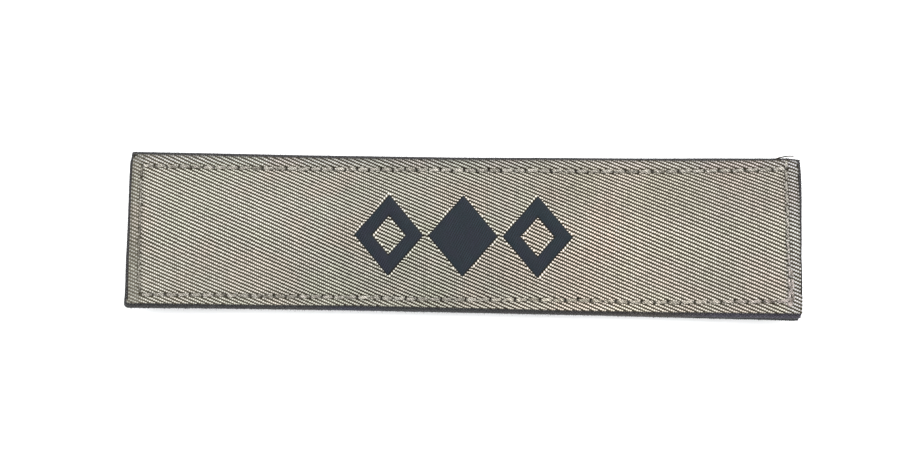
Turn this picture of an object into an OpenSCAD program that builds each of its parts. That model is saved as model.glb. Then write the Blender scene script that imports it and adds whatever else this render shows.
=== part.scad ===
// Uniform patch: a figured twill tape sewn on a dark backing strip and on hook tape.
// It lies hooks down on z = 0, with its length along X and its upper edge towards +Y.
// The origin is at the middle of its footprint. Both ends curl up a little.

/* [Patch] */
// Length of the backing strip, the longest layer
patch_l = 126.9; // [110:0.1:140]
// Width of the tape that the layers are cut from
tape_w = 30; // [27:0.5:34]
// Rise of the left end above the flat middle
lift_left = 2.9; // [0:0.1:4]
// Rise of the right end above the flat middle
lift_right = 2.8; // [0:0.1:4]
// Half the length of the middle that lies flat
flat_half = 23; // [23:1:35]

/* [Layers] */
// Height of the hooks below their web
hook_h = 1.1; // [0.8:0.1:2]
// Thickness of the hook tape's web
web_t = 1; // [1:0.1:1.5]
// Thickness of the dark backing strip
backing_t = 1; // [1:0.1:1.5]
// Thickness of the twill face
face_t = 1; // [1:0.1:1.5]
// Height that the woven figure stands on the face
figure_t = 0.35; // [0.2:0.05:0.6]
// Gap between neighbouring layers
layer_gap = 0.05; // [0.03:0.01:0.1]

/* [Seam] */
// Length of one stitch
stitch_l = 2.34; // [2:0.02:4]
// Depth of the furrow that the thread pulls into the face
furrow_depth = 0.26; // [0.1:0.01:0.4]
// Half the width of the furrow, where it has all but run out
furrow_half = 0.95; // [0.7:0.05:1.3]
// Share of the furrow's depth that comes and goes from stitch to stitch
pucker = 0.3; // [0:0.05:0.5]

/* [Figure] */
// Width of the whole row of lozenges
figure_w = 41.5; // [30:0.5:44]
// Height of a lozenge
figure_h = 15.5; // [12:0.5:17]
// Gap between two lozenges, from point to point
figure_gap = 0.9; // [0.5:0.1:2]
// Width of an open lozenge's stroke
stroke = 2.6; // [2:0.1:3]
// Place of the figure's middle along X
figure_x = 0.8; // [-3:0.1:3]
// Place of the figure's middle along Y
figure_y = -0.3; // [-1:0.1:1]

/* [Hidden] */

// Heights of the layers in the flat middle
web_z = hook_h + layer_gap;
backing_z = web_z + web_t + layer_gap;
face_z = backing_z + backing_t + layer_gap;
top_z = face_z + face_t;
figure_z = top_z + layer_gap;

// Long edges of the layers on a 30 mm tape. The edges are pulled in a little by the seam,
// and the dark strips lie slightly askew under the face.
// Columns: place along X, then the far (+Y) and near (-Y) edge of the face,
// of the backing strip and of the hook web
X = 0;
FACE = 1;
BACKING = 3;
WEB = 5;
EDGES = [
    [-64, 14.48, -14.15, 15.05, -15.00, 14.80, -14.76],
    [-40, 14.54, -14.00, 15.16, -14.70, 14.80, -14.55],
    [-20, 14.44, -13.81, 15.03, -14.65, 14.75, -14.52],
    [  0, 14.36, -13.93, 14.90, -14.72, 14.70, -14.58],
    [ 20, 14.50, -14.08, 14.99, -14.81, 14.70, -14.72],
    [ 40, 14.46, -14.11, 14.98, -14.80, 14.65, -14.95],
    [ 64, 14.42, -14.07, 14.86, -14.86, 14.55, -15.25],
];

// Short ends of the layers, on a strip of the table's length.
// Columns: left end at its far and near corner, right end at its far and near corner
TABLE_L = 126.9;
TABLE_W = 30;
FACE_ENDS = [-62.88, -62.73, 62.85, 63.35];
BACKING_ENDS = [-63.45, -63.40, 63.25, 63.45];
WEB_ENDS = [-63.15, -63.15, 63.00, 63.10];

// Corners of the seam. Columns: place along X, place along Y
SEAM_NEAR_LEFT = [-60.90, -12.42];
SEAM_NEAR_RIGHT = [61.35, -11.80];
SEAM_FAR_LEFT = [-60.90, 12.28];
SEAM_FAR_RIGHT = [60.70, 12.75];

// Rounding of the dark strips' corners: near left, near right, far right, far left
CORNER_R = [0.9, 0.35, 0.4, 0.3];
corner_steps = 3;

// Plain selvedge of the hook web, outside the hooks
selvedge = 0.9;
// Number of straight stretches that the curl of one end is made of
curl_steps = 9;
// Stretch over which the face's cut edge falls, and how far it falls
edge_bevel = 0.35;
edge_drop = 0.18;
// Tall enough to cut through every layer
cut_h = 20;

k_l = patch_l / TABLE_L;
k_w = tape_w / TABLE_W;
half_l = patch_l / 2;
// Rows of the table that lie between the two ends
INNER_EDGES = [for (row = EDGES) if (abs(row[X]) < TABLE_L / 2) row];

function mix(a, b, t) = a + (b - a) * t;

// Rise of every layer at a place along X
function curl(x) =
    let (t = max(0, abs(x) - flat_half) / (half_l - flat_half))
    (x < 0 ? lift_left : lift_right) * t * t;

// Place along Y of a layer's far edge (side 0) or near edge (side 1)
function edge_y(layer, side, x) =
    k_w * lookup(x / k_l, [for (row = EDGES) [row[X], row[layer + side]]]);

// Quarter round at a corner, from angle a on
function quarter(x, y, r, a) =
    [for (i = [0:corner_steps]) let (b = a + 90 * i / corner_steps)
        [x + r * cos(b), y + r * sin(b)]];

// Outline of a dark strip, drawn in by inset on every side
function outline(layer, ends, inset) =
    let (left = k_l * (ends[0] + ends[1]) / 2 + inset,
         right_far = k_l * ends[2] - inset,
         right_near = k_l * ends[3] - inset,
         r = CORNER_R)
    concat(
        quarter(left + r[0], edge_y(layer, 1, left) + inset + r[0], r[0], 180),
        [for (row = INNER_EDGES) [k_l * row[X], k_w * row[layer + 1] + inset]],
        quarter(right_near - r[1], edge_y(layer, 1, right_near) + inset + r[1], r[1], 270),
        quarter(right_far - r[2], edge_y(layer, 0, right_far) - inset - r[2], r[2], 0),
        [for (i = [len(INNER_EDGES) - 1:-1:0]) let (row = INNER_EDGES[i])
            [k_l * row[X], k_w * row[layer] - inset]],
        quarter(left + r[3], edge_y(layer, 0, left) - inset - r[3], r[3], 90)
    );

// Places along X at which the curled layers bend
function bends() = concat(
    [for (i = [curl_steps:-1:0]) -mix(flat_half, half_l + 1, i / curl_steps)],
    [for (i = [0:curl_steps]) mix(flat_half, half_l + 1, i / curl_steps)]
);

// Strip of one outline between two heights, curled up at its ends
module curled_strip(points, z_low, z_high) {
    intersection() {
        linear_extrude(height = cut_h) polygon(points);
        rotate([90, 0, 0])
            linear_extrude(height = 2 * tape_w, center = true)
                polygon(concat(
                    [for (x = bends()) [x, z_low + curl(x)]],
                    [for (i = [len(bends()) - 1:-1:0]) let (x = bends()[i]) [x, z_high + curl(x)]]
                ));
    }
}

// Twill face: a grid of points with lines along the cut edges and along the seam.
// Columns of the grid's lines: what they are measured from, then the offset or share
EDGE_LOW = 0;
SEAM_LOW = 1;
BETWEEN = 2;
SEAM_HIGH = 3;
EDGE_HIGH = 4;
SEAM_LINES = [-furrow_half, -furrow_half / 3, 0, furrow_half / 3, furrow_half];

function grid_lines(shares) = concat(
    [[EDGE_LOW, 0], [EDGE_LOW, edge_bevel]],
    [for (d = SEAM_LINES) [SEAM_LOW, d]],
    [for (t = shares) [BETWEEN, t]],
    [for (d = SEAM_LINES) [SEAM_HIGH, d]],
    [[EDGE_HIGH, -edge_bevel], [EDGE_HIGH, 0]]
);

// Along the tape a line at each needle hole and between two holes, across it three lines
seam_l = SEAM_FAR_RIGHT[0] - SEAM_FAR_LEFT[0];
half_stitches = 2 * round(k_l * seam_l / stitch_l);
COLUMNS = grid_lines([for (i = [1:half_stitches - 1]) i / half_stitches]);
ROWS = grid_lines([0.25, 0.5, 0.75]);

function line_place(line, edge_low, seam_low, seam_high, edge_high) =
    line[0] == EDGE_LOW ? edge_low + line[1]
    : line[0] == SEAM_LOW ? seam_low + line[1]
    : line[0] == BETWEEN ? mix(seam_low, seam_high, line[1])
    : line[0] == SEAM_HIGH ? seam_high + line[1]
    : edge_high + line[1];

// Place along X of a column's line, at the share t of the way from the near to the far edge
function column_x(column, t) = line_place(
    column,
    k_l * mix(FACE_ENDS[1], FACE_ENDS[0], t),
    k_l * mix(SEAM_NEAR_LEFT[0], SEAM_FAR_LEFT[0], t),
    k_l * mix(SEAM_NEAR_RIGHT[0], SEAM_FAR_RIGHT[0], t),
    k_l * mix(FACE_ENDS[3], FACE_ENDS[2], t)
);

function seam_near_y(x) = k_w * mix(SEAM_NEAR_LEFT[1], SEAM_NEAR_RIGHT[1], 0.5 + x / patch_l);
function seam_far_y(x) = k_w * mix(SEAM_FAR_LEFT[1], SEAM_FAR_RIGHT[1], 0.5 + x / patch_l);

function row_y(row, x) = line_place(
    row, edge_y(FACE, 1, x), seam_near_y(x), seam_far_y(x), edge_y(FACE, 0, x)
);

function seam_left_x() = k_l * SEAM_FAR_LEFT[0];
function seam_right_x(y) = k_l * mix(SEAM_NEAR_RIGHT[0], SEAM_FAR_RIGHT[0], 0.5 + y / tape_w);

// Distance of a point from the seam, in the tape's plane
function within(v, low, high) = max(low, min(high, v));
function seam_distance(x, y) =
    let (left = seam_left_x(),
         right = seam_right_x(y),
         near = seam_near_y(x),
         far = seam_far_y(x),
         in_x = within(x, left, right),
         in_y = within(y, near, far))
    min(norm([x - left, y - in_y]), norm([x - right, y - in_y]),
        norm([x - in_x, y - near]), norm([x - in_x, y - far]));

// Depth of the furrow at a point, deepest where the needle went through
function furrow(x, y) =
    let (d = seam_distance(x, y) / furrow_half,
         share = (x - seam_left_x()) / (seam_right_x(y) - seam_left_x()),
         wave = cos(180 * half_stitches * share))
    d >= 1 ? 0 : furrow_depth * (1 - pucker * (1 - wave) / 2) * pow(1 - d * d, 2);

function is_edge(line) = (line[0] == EDGE_LOW || line[0] == EDGE_HIGH) && line[1] == 0;

function face_point(column, row) =
    let (t = 0.5 + row_y(row, 0) / tape_w,
         x = column_x(column, t),
         y = row_y(row, x),
         drop = is_edge(column) || is_edge(row) ? edge_drop : 0)
    [x, y, top_z + curl(x) - furrow(x, y) - drop];

function face_foot(column, row) =
    let (p = face_point(column, row))
    [p[0], p[1], face_z + curl(p[0])];

module face_tape() {
    n = len(COLUMNS);
    m = len(ROWS);
    // The underside is plain, with a near and a far point for each column
    function top(i, j) = i * m + j;
    function near(i) = n * m + i;
    function far(i) = n * m + n + i;
    points = concat(
        [for (c = COLUMNS) for (r = ROWS) face_point(c, r)],
        [for (c = COLUMNS) face_foot(c, ROWS[0])],
        [for (c = COLUMNS) face_foot(c, ROWS[m - 1])]
    );
    faces = concat(
        [for (i = [0:n - 2]) for (j = [0:m - 2]) [top(i, j), top(i, j + 1), top(i + 1, j + 1)]],
        [for (i = [0:n - 2]) for (j = [0:m - 2]) [top(i, j), top(i + 1, j + 1), top(i + 1, j)]],
        [for (i = [0:n - 2]) [near(i), near(i + 1), far(i + 1)]],
        [for (i = [0:n - 2]) [near(i), far(i + 1), far(i)]],
        [for (i = [0:n - 2]) [top(i, 0), top(i + 1, 0), near(i + 1), near(i)]],
        [for (i = [0:n - 2]) [top(i + 1, m - 1), top(i, m - 1), far(i), far(i + 1)]],
        [for (j = [0:m - 2]) [top(0, j + 1), top(0, j), near(0)]],
        [[top(0, m - 1), near(0), far(0)]],
        [for (j = [0:m - 2]) [top(n - 1, j), top(n - 1, j + 1), near(n - 1)]],
        [[top(n - 1, m - 1), far(n - 1), near(n - 1)]]
    );
    color([0.62, 0.60, 0.55]) polyhedron(points, faces);
}

// One lozenge of the figure, woven smooth, on the flat middle of the face
lozenge_w = (figure_w - 2 * figure_gap) / 3;
lozenge_pitch = lozenge_w + figure_gap;

// Lozenge whose four sides are drawn in by inset
module rhombus(inset) {
    a = lozenge_w / 2;
    b = figure_h / 2;
    k = 1 - inset * norm([a, b]) / (a * b);
    polygon([[-k * a, 0], [0, -k * b], [k * a, 0], [0, k * b]]);
}

module lozenge(place, open) {
    color([0.17, 0.20, 0.24])
        translate([figure_x + place * lozenge_pitch, figure_y, figure_z])
            linear_extrude(height = figure_t)
                difference() {
                    rhombus(0);
                    if (open) rhombus(stroke);
                }
}

module lozenge_left() {
    lozenge(-1, true);
}

module lozenge_middle() {
    lozenge(0, false);
}

module lozenge_right() {
    lozenge(1, true);
}

module backing_tape() {
    color([0.24, 0.23, 0.26])
        curled_strip(outline(BACKING, BACKING_ENDS, 0), backing_z, backing_z + backing_t);
}

module hook_web() {
    color([0.20, 0.21, 0.21])
        curled_strip(outline(WEB, WEB_ENDS, 0), web_z, web_z + web_t);
}

module hook_field() {
    color([0.13, 0.13, 0.14])
        curled_strip(outline(WEB, WEB_ENDS, selvedge), 0, hook_h);
}

face_tape();
lozenge_left();
lozenge_middle();
lozenge_right();
backing_tape();
hook_web();
hook_field();
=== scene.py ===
import functools
import math

import bpy
import numpy as np
from mathutils import Matrix, Vector
from numpy.random import default_rng


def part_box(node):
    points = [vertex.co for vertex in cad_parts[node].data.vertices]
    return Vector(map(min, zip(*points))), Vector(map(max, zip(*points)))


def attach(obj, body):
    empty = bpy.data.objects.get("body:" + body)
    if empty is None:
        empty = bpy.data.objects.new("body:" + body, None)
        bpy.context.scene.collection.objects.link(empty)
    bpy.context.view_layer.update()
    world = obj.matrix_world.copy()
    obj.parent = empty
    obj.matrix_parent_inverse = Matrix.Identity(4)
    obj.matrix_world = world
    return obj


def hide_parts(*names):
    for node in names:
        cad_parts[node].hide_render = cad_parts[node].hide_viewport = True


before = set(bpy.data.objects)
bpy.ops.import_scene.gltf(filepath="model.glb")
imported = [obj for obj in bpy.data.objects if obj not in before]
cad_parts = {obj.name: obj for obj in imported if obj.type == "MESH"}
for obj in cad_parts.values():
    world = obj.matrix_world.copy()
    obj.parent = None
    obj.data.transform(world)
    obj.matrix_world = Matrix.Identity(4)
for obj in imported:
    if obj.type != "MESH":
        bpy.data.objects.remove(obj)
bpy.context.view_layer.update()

MM = 0.001
X, Y, Z = 0, 1, 2


@functools.cache
def corners(node):
    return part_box(node)


def low(node, axis):
    return corners(node)[0][axis] / MM


def high(node, axis):
    return corners(node)[1][axis] / MM


def middle_of(node):
    return [(low(node, axis) + high(node, axis)) / 2 for axis in (X, Y)]


def half_of(node):
    return [(high(node, axis) - low(node, axis)) / 2 for axis in (X, Y)]


# Heights of the layers in the flat middle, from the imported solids
LAYER_GAP = 0.05
WEB_Z = low("hook_web", Z)
BACKING_Z = low("backing_tape", Z)
FACE_Z = low("face_tape", Z)
FIGURE_Z = low("lozenge_middle", Z)
FIGURE_T = high("lozenge_middle", Z) - FIGURE_Z
TOP_Z = FIGURE_Z - LAYER_GAP
WEB_T = BACKING_Z - WEB_Z - LAYER_GAP
BACKING_T = FACE_Z - BACKING_Z - LAYER_GAP

# Curl of both ends, as in the solids
HALF_L = high("backing_tape", X)
FLAT_HALF = 23.0
LIFT_LEFT = 2.9
LIFT_RIGHT = 2.8

# Long edges of the layers. Columns: place along X, then far and near edge
# of the face, of the backing strip and of the hook web
FACE, BACKING, WEB = 1, 3, 5
EDGES = np.array([
    [-64, 14.48, -14.15, 15.05, -15.00, 14.80, -14.76],
    [-50, 14.56, -14.05, 15.16, -14.78, 14.80, -14.60],
    [-40, 14.54, -14.00, 15.16, -14.70, 14.80, -14.55],
    [-20, 14.44, -13.81, 15.03, -14.65, 14.75, -14.52],
    [0, 14.36, -13.93, 14.90, -14.72, 14.70, -14.58],
    [20, 14.50, -14.08, 14.99, -14.81, 14.70, -14.72],
    [40, 14.46, -14.11, 14.98, -14.80, 14.65, -14.95],
    [48.5, 14.42, -14.09, 14.98, -14.82, 14.61, -15.05],
    [60.4, 14.40, -14.07, 14.84, -14.86, 14.55, -15.20],
    [61.1, 14.46, -14.07, 14.90, -14.86, 14.55, -15.25],
    [62.1, 14.42, -14.07, 14.72, -14.86, 14.55, -15.26],
    [64, 14.25, -14.07, 14.50, -14.86, 14.55, -15.28],
])
# Short ends of the layers: left end at its far and near corner, then the right end
ENDS = {
    FACE: (-62.88, -62.73, 62.80, 63.35),
    BACKING: (-63.52, -63.47, 63.50, 63.54),
    WEB: (-63.15, -63.15, 63.00, 63.10),
}
# The dark strips: material slot, height of the underside, thickness, pitch of the thread ends
STRIPS = {BACKING: ("backing", BACKING_Z, BACKING_T, 0.33), WEB: ("web", WEB_Z, WEB_T, 0.37)}
# How far the ends of the face and the backing stray from straight.
# Columns: place along Y, then the shift along X of the left and of the right end
END_SHAPE = np.array([
    [-15, -0.04, -0.20],
    [-14.4, -0.05, -0.16],
    [-13.9, 0.0, 0.09],
    [-12, 0.07, 0.11],
    [-9.5, 0.0, 0.11],
    [-6, -0.02, 0.13],
    [-4.5, 0, 0.02],
    [0, 0.02, 0.12],
    [4, 0, 0.12],
    [7, -0.02, 0.18],
    [12, -0.06, 0.13],
    [13.2, -0.02, 0.03],
    [13.9, 0.18, -0.02],
    [15, 0.26, -0.14],
])
# Rounding of the dark strips' corners
CORNER_NEAR_LEFT = 0.75
CORNER_NEAR_RIGHT = 0.12
CORNER_FAR_RIGHT = 0.2
CORNER_FAR_LEFT = 0.3
TAPE_W = 30.0

# Seam: the bends of its sides, the length of a stitch and the furrow that the thread pulls.
# Columns of the long sides: place along X, place along Y. Of the left side: along Y, along X
SEAM_NEAR = np.array([
    [-61, -12.42], [-45, -12.29], [-37, -12.30], [-20, -12.22], [-10, -12.36], [-2, -12.36],
    [7, -12.30], [15, -12.18], [24, -12.14], [32, -12.27], [41, -12.27], [49, -12.05],
    [57, -11.90], [61, -11.80],
])
SEAM_FAR = np.array([
    [-61, 12.28], [-37, 12.28], [-3, 12.32], [15, 12.33], [31, 12.29], [41, 12.37],
    [48, 12.45], [57, 12.60], [61, 12.75],
])
SEAM_LEFT = np.array([
    [-12.5, -60.20], [-11, -60.65], [-8.2, -60.70], [-3, -60.93], [3.3, -60.93],
    [8.5, -61.18], [12.5, -61.00],
])
SEAM_RIGHT_X = (61.35, 60.70)
STITCH_L = 2.34
# The long sides were sewn at an uneven pace: share of the stitches, then share of the way
PACE = np.array([[0, 0], [0.25, 0.245], [0.53, 0.518], [0.78, 0.770], [1, 1]])
# Size of the needle holes along the near, far, left and right side
HOLE_REACH = (0.28, 0.28, 0.10, 0.15)
# A needle hole's pit in the ground of the face: its depth, and its reach as a share of the hole's
PIT_DEPTH = 0.28
PIT_REACH = 1.3
PIT_TONE = 0.8
PIT_TONE_REACH = 1.4
FURROW_DEPTH = 0.26
FURROW_HALF = 0.95
PUCKER = 0.3
EDGE_BEVEL = 0.35
EDGE_DROP = 0.18

# Weave of the face: pitch of the light threads at places along X
THREAD_PITCH = np.array([
    [-64, 0.390], [-12, 0.3895], [0, 0.391], [10, 0.389], [20, 0.397], [30, 0.398],
    [41, 0.396], [51, 0.394], [56, 0.392], [61, 0.378], [64, 0.376],
])
# How densely the dark threads lie. Columns: place along Y, density at three places along X
DENSITY_X = (-60, -20, 30)
DENSITY = np.array([
    [-14.5, 1.06, 1.045, 1.03],
    [-9, 1.045, 1.033, 1.018],
    [-2.7, 0.948, 0.964, 0.958],
    [4.5, 1.012, 1.018, 1.010],
    [11, 1.022, 1.070, 1.058],
    [14.5, 1.02, 1.075, 1.065],
])
# The outermost light threads lie this far beyond the left and the right end
BEYOND_ENDS = (0.58, 0.6)
# Repeat of the floats along a thread, how far the floats of the next thread lie below,
# and the lean of the threads
REPEAT = 0.693
TWILL_STEP = 0.1700
LEAN = 0.014
# Where the far and the near side of the seam start to gather the threads,
# and by which share for each millimetre on the left and on the right
GATHER_FAR = (7.5, 0.0006, 0.0012)
GATHER_NEAR = (6, 0.0002, 0.0008)
# Slow waver of the floats along Y, and its length along X
WAVER = 0.05
WAVER_L = 7.0
FLOAT_L = 0.51
FLOAT_W = 0.392
FLOAT_H = 0.13
# Shortest float at the long edges and beside the figure
SHORT_AT_EDGE = 0.16
SHORT_FLOAT = 0.12
# Share of its width by which a float keeps inside the ends of the face
TUCK = 0.38
# Distance of the floats from the edges, and the size of the cropped corner
EDGE_CLEAR = 0.03
CROPPED_CORNER = 0.85
# Columns: place along X, how far the floats stray along Y there
FLOAT_STRAY = np.array([[-50, 0.012], [-10, 0.008]])
# How far the seam's hold and the shade of the rims reach over the floats
SEAM_HOLD = 0.45
RIM_SHADE = 0.40
# A margin begins this far beyond the seam's line and comes in over this length
MARGIN_START = 0.6
MARGIN_BLEND = 0.25
# The floats in the near margin and those just inside the near side of the seam are lighter.
# Columns: place along X, the rise in tone
NEAR_TONE = np.array([[0, 0.02], [12, 0.20], [32, 0.20], [44, 0.02]])
INNER_TONE = np.array([[-10, 0.06], [20, 0.30]])
INNER_AT = 0.5
INNER_HALF = 0.25
# Dark threads that cross over a light one where it dives
PICK_L = 0.50
PICK_W = 0.30
PICK_H = 0.11
PICK_DROP = 0.035
GROUND_DROP = 0.14
# How far the bright floats reach that frame the figure
HALO = 0.32


def mix(a, b, t):
    return a + (b - a) * t


def looked_up(table, place, column=1):
    """A column of a table at a place given in the table's first column."""
    return np.interp(place, table[:, 0], table[:, column])


def vectors(*parts):
    """Points or directions from their parts, each an array or one number."""
    return np.stack(np.broadcast_arrays(*parts), axis=-1)


def curl(x):
    """Rise of every layer at a place along X."""
    x = np.asarray(x, float)
    t = np.maximum(0, np.abs(x) - FLAT_HALF) / (HALF_L - FLAT_HALF)
    return np.where(x < 0, LIFT_LEFT, LIFT_RIGHT) * t * t


def edge_y(layer, side, x):
    """Place along Y of a layer's far edge, side 0, or near edge, side 1."""
    return looked_up(EDGES, x, layer + side)


def end_shift(layer, end, y):
    return 0 * y if layer == WEB else looked_up(END_SHAPE, y, 1 + end)


def left_x(layer, y):
    return mix(ENDS[layer][1], ENDS[layer][0], 0.5 + y / TAPE_W) + end_shift(layer, 0, y)


def right_x(layer, y):
    return mix(ENDS[layer][3], ENDS[layer][2], 0.5 + y / TAPE_W) + end_shift(layer, 1, y)


def seam_near_y(x):
    return looked_up(SEAM_NEAR, x)


def seam_far_y(x):
    return looked_up(SEAM_FAR, x)


def seam_left_x(y):
    return looked_up(SEAM_LEFT, y)


def seam_right_x(y):
    return mix(*SEAM_RIGHT_X, 0.5 + y / TAPE_W)


def seam_distance(x, y):
    """Distance from the seam in the tape's plane."""
    left, right = seam_left_x(y), seam_right_x(y)
    near, far = seam_near_y(x), seam_far_y(x)
    in_x = np.clip(x, left, right)
    in_y = np.clip(y, near, far)
    return np.minimum.reduce([
        np.hypot(x - left, y - in_y),
        np.hypot(x - right, y - in_y),
        np.hypot(x - in_x, y - near),
        np.hypot(x - in_x, y - far),
    ])


LONG_STITCHES = round((SEAM_RIGHT_X[1] - SEAM_LEFT[-1, 1]) / STITCH_L)
SHORT_STITCHES = round((SEAM_FAR[0, 1] - SEAM_NEAR[0, 1]) / STITCH_L)


def furrow(x, y):
    """Depth of the furrow, deepest where the needle went through."""
    d = np.minimum(1, seam_distance(x, y) / FURROW_HALF)
    left = seam_left_x(y)
    share = looked_up(PACE[:, ::-1], (x - left) / (seam_right_x(y) - left))
    wave = np.cos(2 * math.pi * LONG_STITCHES * share)
    return FURROW_DEPTH * (1 - PUCKER * (1 - wave) / 2) * (1 - d * d) ** 2


def inside(layer, x, y):
    """Distance of a point from the nearest edge of a layer, positive on the layer."""
    return np.minimum.reduce([
        x - left_x(layer, y), right_x(layer, y) - x,
        y - edge_y(layer, 1, x), edge_y(layer, 0, x) - y,
    ])


def face_top(x, y):
    """Height of the twill's top surface."""
    fall = EDGE_DROP * np.clip(1 - inside(FACE, x, y) / EDGE_BEVEL, 0, 1) ** 1.5
    return TOP_Z + curl(x) - furrow(x, y) - fall


def seam_holes():
    """Needle holes along the four sides, each side as points from corner to corner."""
    s = looked_up(PACE, np.linspace(0, 1, LONG_STITCHES + 1))
    t = np.linspace(0, 1, SHORT_STITCHES + 1)
    side_y = mix(SEAM_NEAR[0, 1], SEAM_FAR[0, 1], t)
    right_y = mix(SEAM_NEAR[-1, 1], SEAM_FAR[-1, 1], t)
    near_x = mix(seam_left_x(side_y[0]), seam_right_x(right_y[0]), s)
    far_x = mix(seam_left_x(side_y[-1]), seam_right_x(right_y[-1]), s)
    return [
        vectors(near_x, seam_near_y(near_x)),
        vectors(far_x, seam_far_y(far_x)),
        vectors(seam_left_x(side_y), side_y),
        vectors(seam_right_x(right_y), right_y),
    ]


SIDES = seam_holes()


def hole_share(x, y):
    """Distance of each point from the nearest needle hole, as a share of the hole's reach."""
    flat_x, flat_y = np.ravel(x), np.ravel(y)
    best = np.full(len(flat_x), np.inf)
    for side, reach in zip(SIDES, HOLE_REACH):
        for hole in side:
            np.minimum(best, np.hypot(flat_x - hole[0], flat_y - hole[1]) / reach, out=best)
    return best.reshape(np.shape(x))


# Meshes

def new_object(name, data):
    made = bpy.data.objects.new(name, data)
    bpy.context.scene.collection.objects.link(made)
    return made


def place(name, points, faces, slot, material, **attributes):
    """Makes a piece from points in millimetres, with one number per point for each attribute."""
    mesh = bpy.data.meshes.new(name)
    mesh.from_pydata((np.asarray(points, float) * MM).tolist(), [], [list(f) for f in faces])
    for key, values in attributes.items():
        layer = mesh.attributes.new(key, "FLOAT", "POINT")
        layer.data.foreach_set("value", np.asarray(values, np.float32))
    mesh.polygons.foreach_set("use_smooth", [True] * len(mesh.polygons))
    mesh.materials.append(material)
    mesh.update()
    piece = new_object(name, mesh)
    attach(piece, "root")
    return piece


class Heap:
    """Points and faces of many small shapes, with a tone and a painted shading for each point."""

    def __init__(self):
        self.points, self.faces, self.tones, self.crowns, self.count = [], [], [], [], 0

    def add(self, points, faces, tone, crown=1.0):
        self.points.append(np.asarray(points, float))
        self.faces.extend([[v + self.count for v in face] for face in faces])
        self.tones.append(np.broadcast_to(tone, len(points)))
        self.crowns.append(np.broadcast_to(crown, len(points)))
        self.count += len(points)

    def copies(self, template, centre, frames, tone, even=0.0):
        """Adds one copy of a template for each centre. frames holds three vectors for each.
        even is the share by which the painted shading of a copy is levelled out."""
        shares, crowns, faces = template
        points = centre[:, None, :] + np.einsum("vk,nkc->nvc", shares, frames)
        if np.cross(frames[0, 0], frames[0, 1]) @ frames[0, 2] < 0:
            faces = faces[:, ::-1]
        offsets = np.arange(len(centre))[:, None, None] * len(shares)
        faces = (faces[None] + offsets).reshape(-1, faces.shape[1]).tolist()
        tones = np.repeat(np.broadcast_to(tone, len(centre)), len(shares))
        evens = np.repeat(np.broadcast_to(even, len(centre)), len(shares))
        crowns = mix(np.tile(crowns, len(centre)), 1.0, evens)
        self.add(points.reshape(-1, 3), faces, tones, crowns)

    def add_tube(self, path, radius, sides, tone, taper=1.0):
        self.add(*tube(path, radius, sides, taper), tone)

    def add_ply(self, path, core, radius, sides, tone):
        """Adds a ply wound round a core line, with painted shade where it faces the core."""
        points, faces = tube(path, radius, sides)
        out = np.repeat(path - core, sides, axis=0)
        off = points - np.repeat(path, sides, axis=0)
        facing = np.sum(out * off, axis=1) / (np.linalg.norm(out, axis=1) * radius)
        self.add(points, faces, tone, 0.5 + 0.5 * facing)

    def piece(self, name, slot, material):
        return place(name, np.concatenate(self.points), self.faces, slot, material,
                     tone=np.concatenate(self.tones), crown=np.concatenate(self.crowns))


# Stations along a short floating thread.
# Columns: place, share of the width, share of the height, share of its full light,
# which paints shade where the thread dives and a highlight on its middle
FLOAT_STATIONS = [
    (-1, 0.45, -0.1, 0), (-0.6, 0.88, 0.78, 0.48), (0, 1, 1, 1),
    (0.6, 0.88, 0.78, 0.48), (1, 0.45, -0.1, 0),
]
# The dark threads that cross over, with painted shade at their ends
PICK_STATIONS = [(-1, 0.75, 0.1, 0.6), (0, 1, 1, 1), (1, 0.75, 0.1, 0.6)]
# Lines across it. Columns: place, share of the height, share of its full light: painted shade on the
# sides
THREAD_LINES = [(-1, 0, 0.60), (-0.5, 0.88, 0.95), (0.5, 0.88, 0.95), (1, 0, 0.60)]


def dome_template(stations=FLOAT_STATIONS):
    """A short floating thread: the points of a dome, their painted shading and its faces."""
    points = [(s[0], s[1] * line[0], s[2] * line[1]) for s in stations for line in THREAD_LINES]
    crowns = [s[3] * line[2] for s in stations for line in THREAD_LINES]
    return np.array(points), np.array(crowns), grid_faces(len(stations), len(THREAD_LINES))


def grid_faces(n, m):
    """Quads of a grid of n by m points, seen from above."""
    i, j = np.meshgrid(np.arange(n - 1), np.arange(m - 1), indexing="ij")
    a = (i * m + j).ravel()
    return np.stack([a, a + m, a + m + 1, a + 1], axis=1)


def frames_of(*axes):
    """Frames of many shapes from three vectors, each given by its parts."""
    return np.stack(np.broadcast_arrays(*[vectors(*axis) for axis in axes]), axis=1)


def rim_of(n, m):
    """Indices of a grid's border, once round, starting at the near left corner."""
    grid = np.arange(n * m).reshape(n, m)
    return np.concatenate([grid[:, 0], grid[-1, 1:], grid[-2::-1, -1], grid[0, -2:0:-1]])


def slab(x, y, top, bottom, bulge):
    """Closed strip between two heights over grids x and y. Its wall stands out by bulge."""
    n, m = x.shape
    upper = vectors(x, y, top).reshape(-1, 3)
    lower = vectors(x, y, bottom).reshape(-1, 3)
    rim = rim_of(n, m)
    edge = upper[rim, :2]
    tangent = np.roll(edge, -1, axis=0) - np.roll(edge, 1, axis=0)
    normal = vectors(tangent[:, 1], -tangent[:, 0])
    normal /= np.linalg.norm(normal, axis=1)[:, None]
    points = [upper, lower]
    faces = [grid_faces(n, m), grid_faces(n, m)[:, ::-1] + n * m]
    above, count = rim, 2 * n * m
    for share in (0.15, 0.5, 0.85):
        out = bulge * math.sqrt(1 - (2 * share - 1) ** 2)
        height = mix(upper[rim, Z], lower[rim, Z], share)
        points.append(np.column_stack([edge + normal * out, height]))
        ring = np.arange(len(rim)) + count
        faces.append(np.stack([np.roll(above, -1), above, ring, np.roll(ring, -1)], axis=1))
        above, count = ring, count + len(rim)
    last = rim + n * m
    faces.append(np.stack([np.roll(above, -1), above, last, np.roll(last, -1)], axis=1))
    return np.concatenate(points), np.concatenate(faces)


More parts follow.
